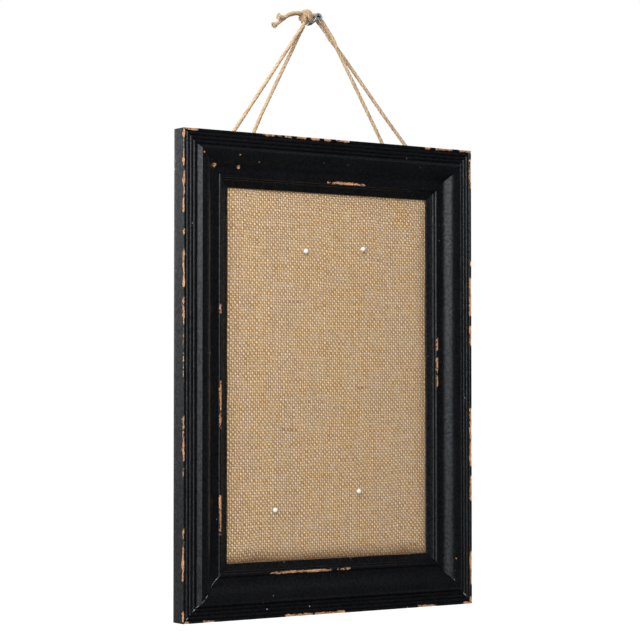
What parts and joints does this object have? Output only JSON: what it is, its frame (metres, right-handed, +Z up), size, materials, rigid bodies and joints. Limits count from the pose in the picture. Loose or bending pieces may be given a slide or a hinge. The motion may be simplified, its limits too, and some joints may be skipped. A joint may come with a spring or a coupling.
{
  "type": "framed burlap memo board",
  "caption": "Upright wall memo board: burlap pin panel with map pins in a reeded, distressed black wooden frame, hanging by a knotted jute cord from a wall screw.",
  "frame": {"origin": "on the wall screw's axis, at the place where the cord hangs over it", "axes": "+X to the viewer's right, +Y from the board's face back into the wall, +Z up"},
  "size_m": [0.303, 0.0451, 0.5216],
  "materials": {
    "black_paint": "satin black paint on wood, rubbed through to bare wood along the edges",
    "burlap": "natural tan plain-weave burlap",
    "fibreboard": "raw soft fibreboard",
    "grey_card": "plain brown-grey backing card",
    "zinc_steel": "bright zinc-plated steel",
    "brass_wire": "brassed steel wire",
    "jute": "natural twisted jute",
    "white_bead": "glossy off-white"
  },
  "bodies": {
    "hanger": {"wall_screw": "zinc_steel"},
    "cord": {"cord_right_loop": "jute", "cord_left_loop": "jute", "cord_tail_upper": "jute", "cord_tail_lower": "jute", "cord_knot": "jute"},
    "board": {"top_rail": "black_paint", "bottom_rail": "black_paint", "left_stile": "black_paint", "right_stile": "black_paint", "corner_nail_top_left": "zinc_steel", "corner_nail_top_right": "zinc_steel", "corner_nail_bottom_left": "zinc_steel", "corner_nail_bottom_right": "zinc_steel", "framers_point_top_rail_1": "zinc_steel", "framers_point_top_rail_2": "zinc_steel", "framers_point_bottom_rail_1": "zinc_steel", "framers_point_bottom_rail_2": "zinc_steel", "framers_point_left_stile_1": "zinc_steel", "framers_point_left_stile_2": "zinc_steel", "framers_point_left_stile_3": "zinc_steel", "framers_point_right_stile_1": "zinc_steel", "framers_point_right_stile_2": "zinc_steel", "framers_point_right_stile_3": "zinc_steel", "pin_board": "fibreboard", "burlap_cover": "burlap", "backing_card": "grey_card", "screw_eye_left_outer": "brass_wire", "screw_eye_left_inner": "brass_wire", "screw_eye_right_inner": "brass_wire", "screw_eye_right_outer": "brass_wire"},
    "pin_upper_left": {"pin_head_upper_left": "white_bead", "pin_needle_upper_left": "zinc_steel"},
    "pin_upper_right": {"pin_head_upper_right": "white_bead", "pin_needle_upper_right": "zinc_steel"},
    "pin_lower_left": {"pin_head_lower_left": "white_bead", "pin_needle_lower_left": "zinc_steel"},
    "pin_lower_right": {"pin_head_lower_right": "white_bead", "pin_needle_lower_right": "zinc_steel"}
  },
  "joints": [
    {"name": "swing_on_screw", "type": "hinge", "parent": "hanger", "child": "cord", "pos_m": [0, 0, 0], "axis": [0, 1, 0], "range_deg": [-20, 20]},
    {"name": "tilt_off_wall", "type": "hinge", "parent": "cord", "child": "board", "pos_m": [0, -0.0095, -0.1203], "axis": [-1, 0, 0], "range_deg": [0, 15]},
    {"name": "pull_pin_upper_left", "type": "slide", "parent": "board", "child": "pin_upper_left", "axis": [0, -1, 0], "range_m": [0, 0.012]},
    {"name": "pull_pin_upper_right", "type": "slide", "parent": "board", "child": "pin_upper_right", "axis": [0, -1, 0], "range_m": [0, 0.012]},
    {"name": "pull_pin_lower_left", "type": "slide", "parent": "board", "child": "pin_lower_left", "axis": [0, -1, 0], "range_m": [0, 0.012]},
    {"name": "pull_pin_lower_right", "type": "slide", "parent": "board", "child": "pin_lower_right", "axis": [0, -1, 0], "range_m": [0, 0.012]}
  ]
}
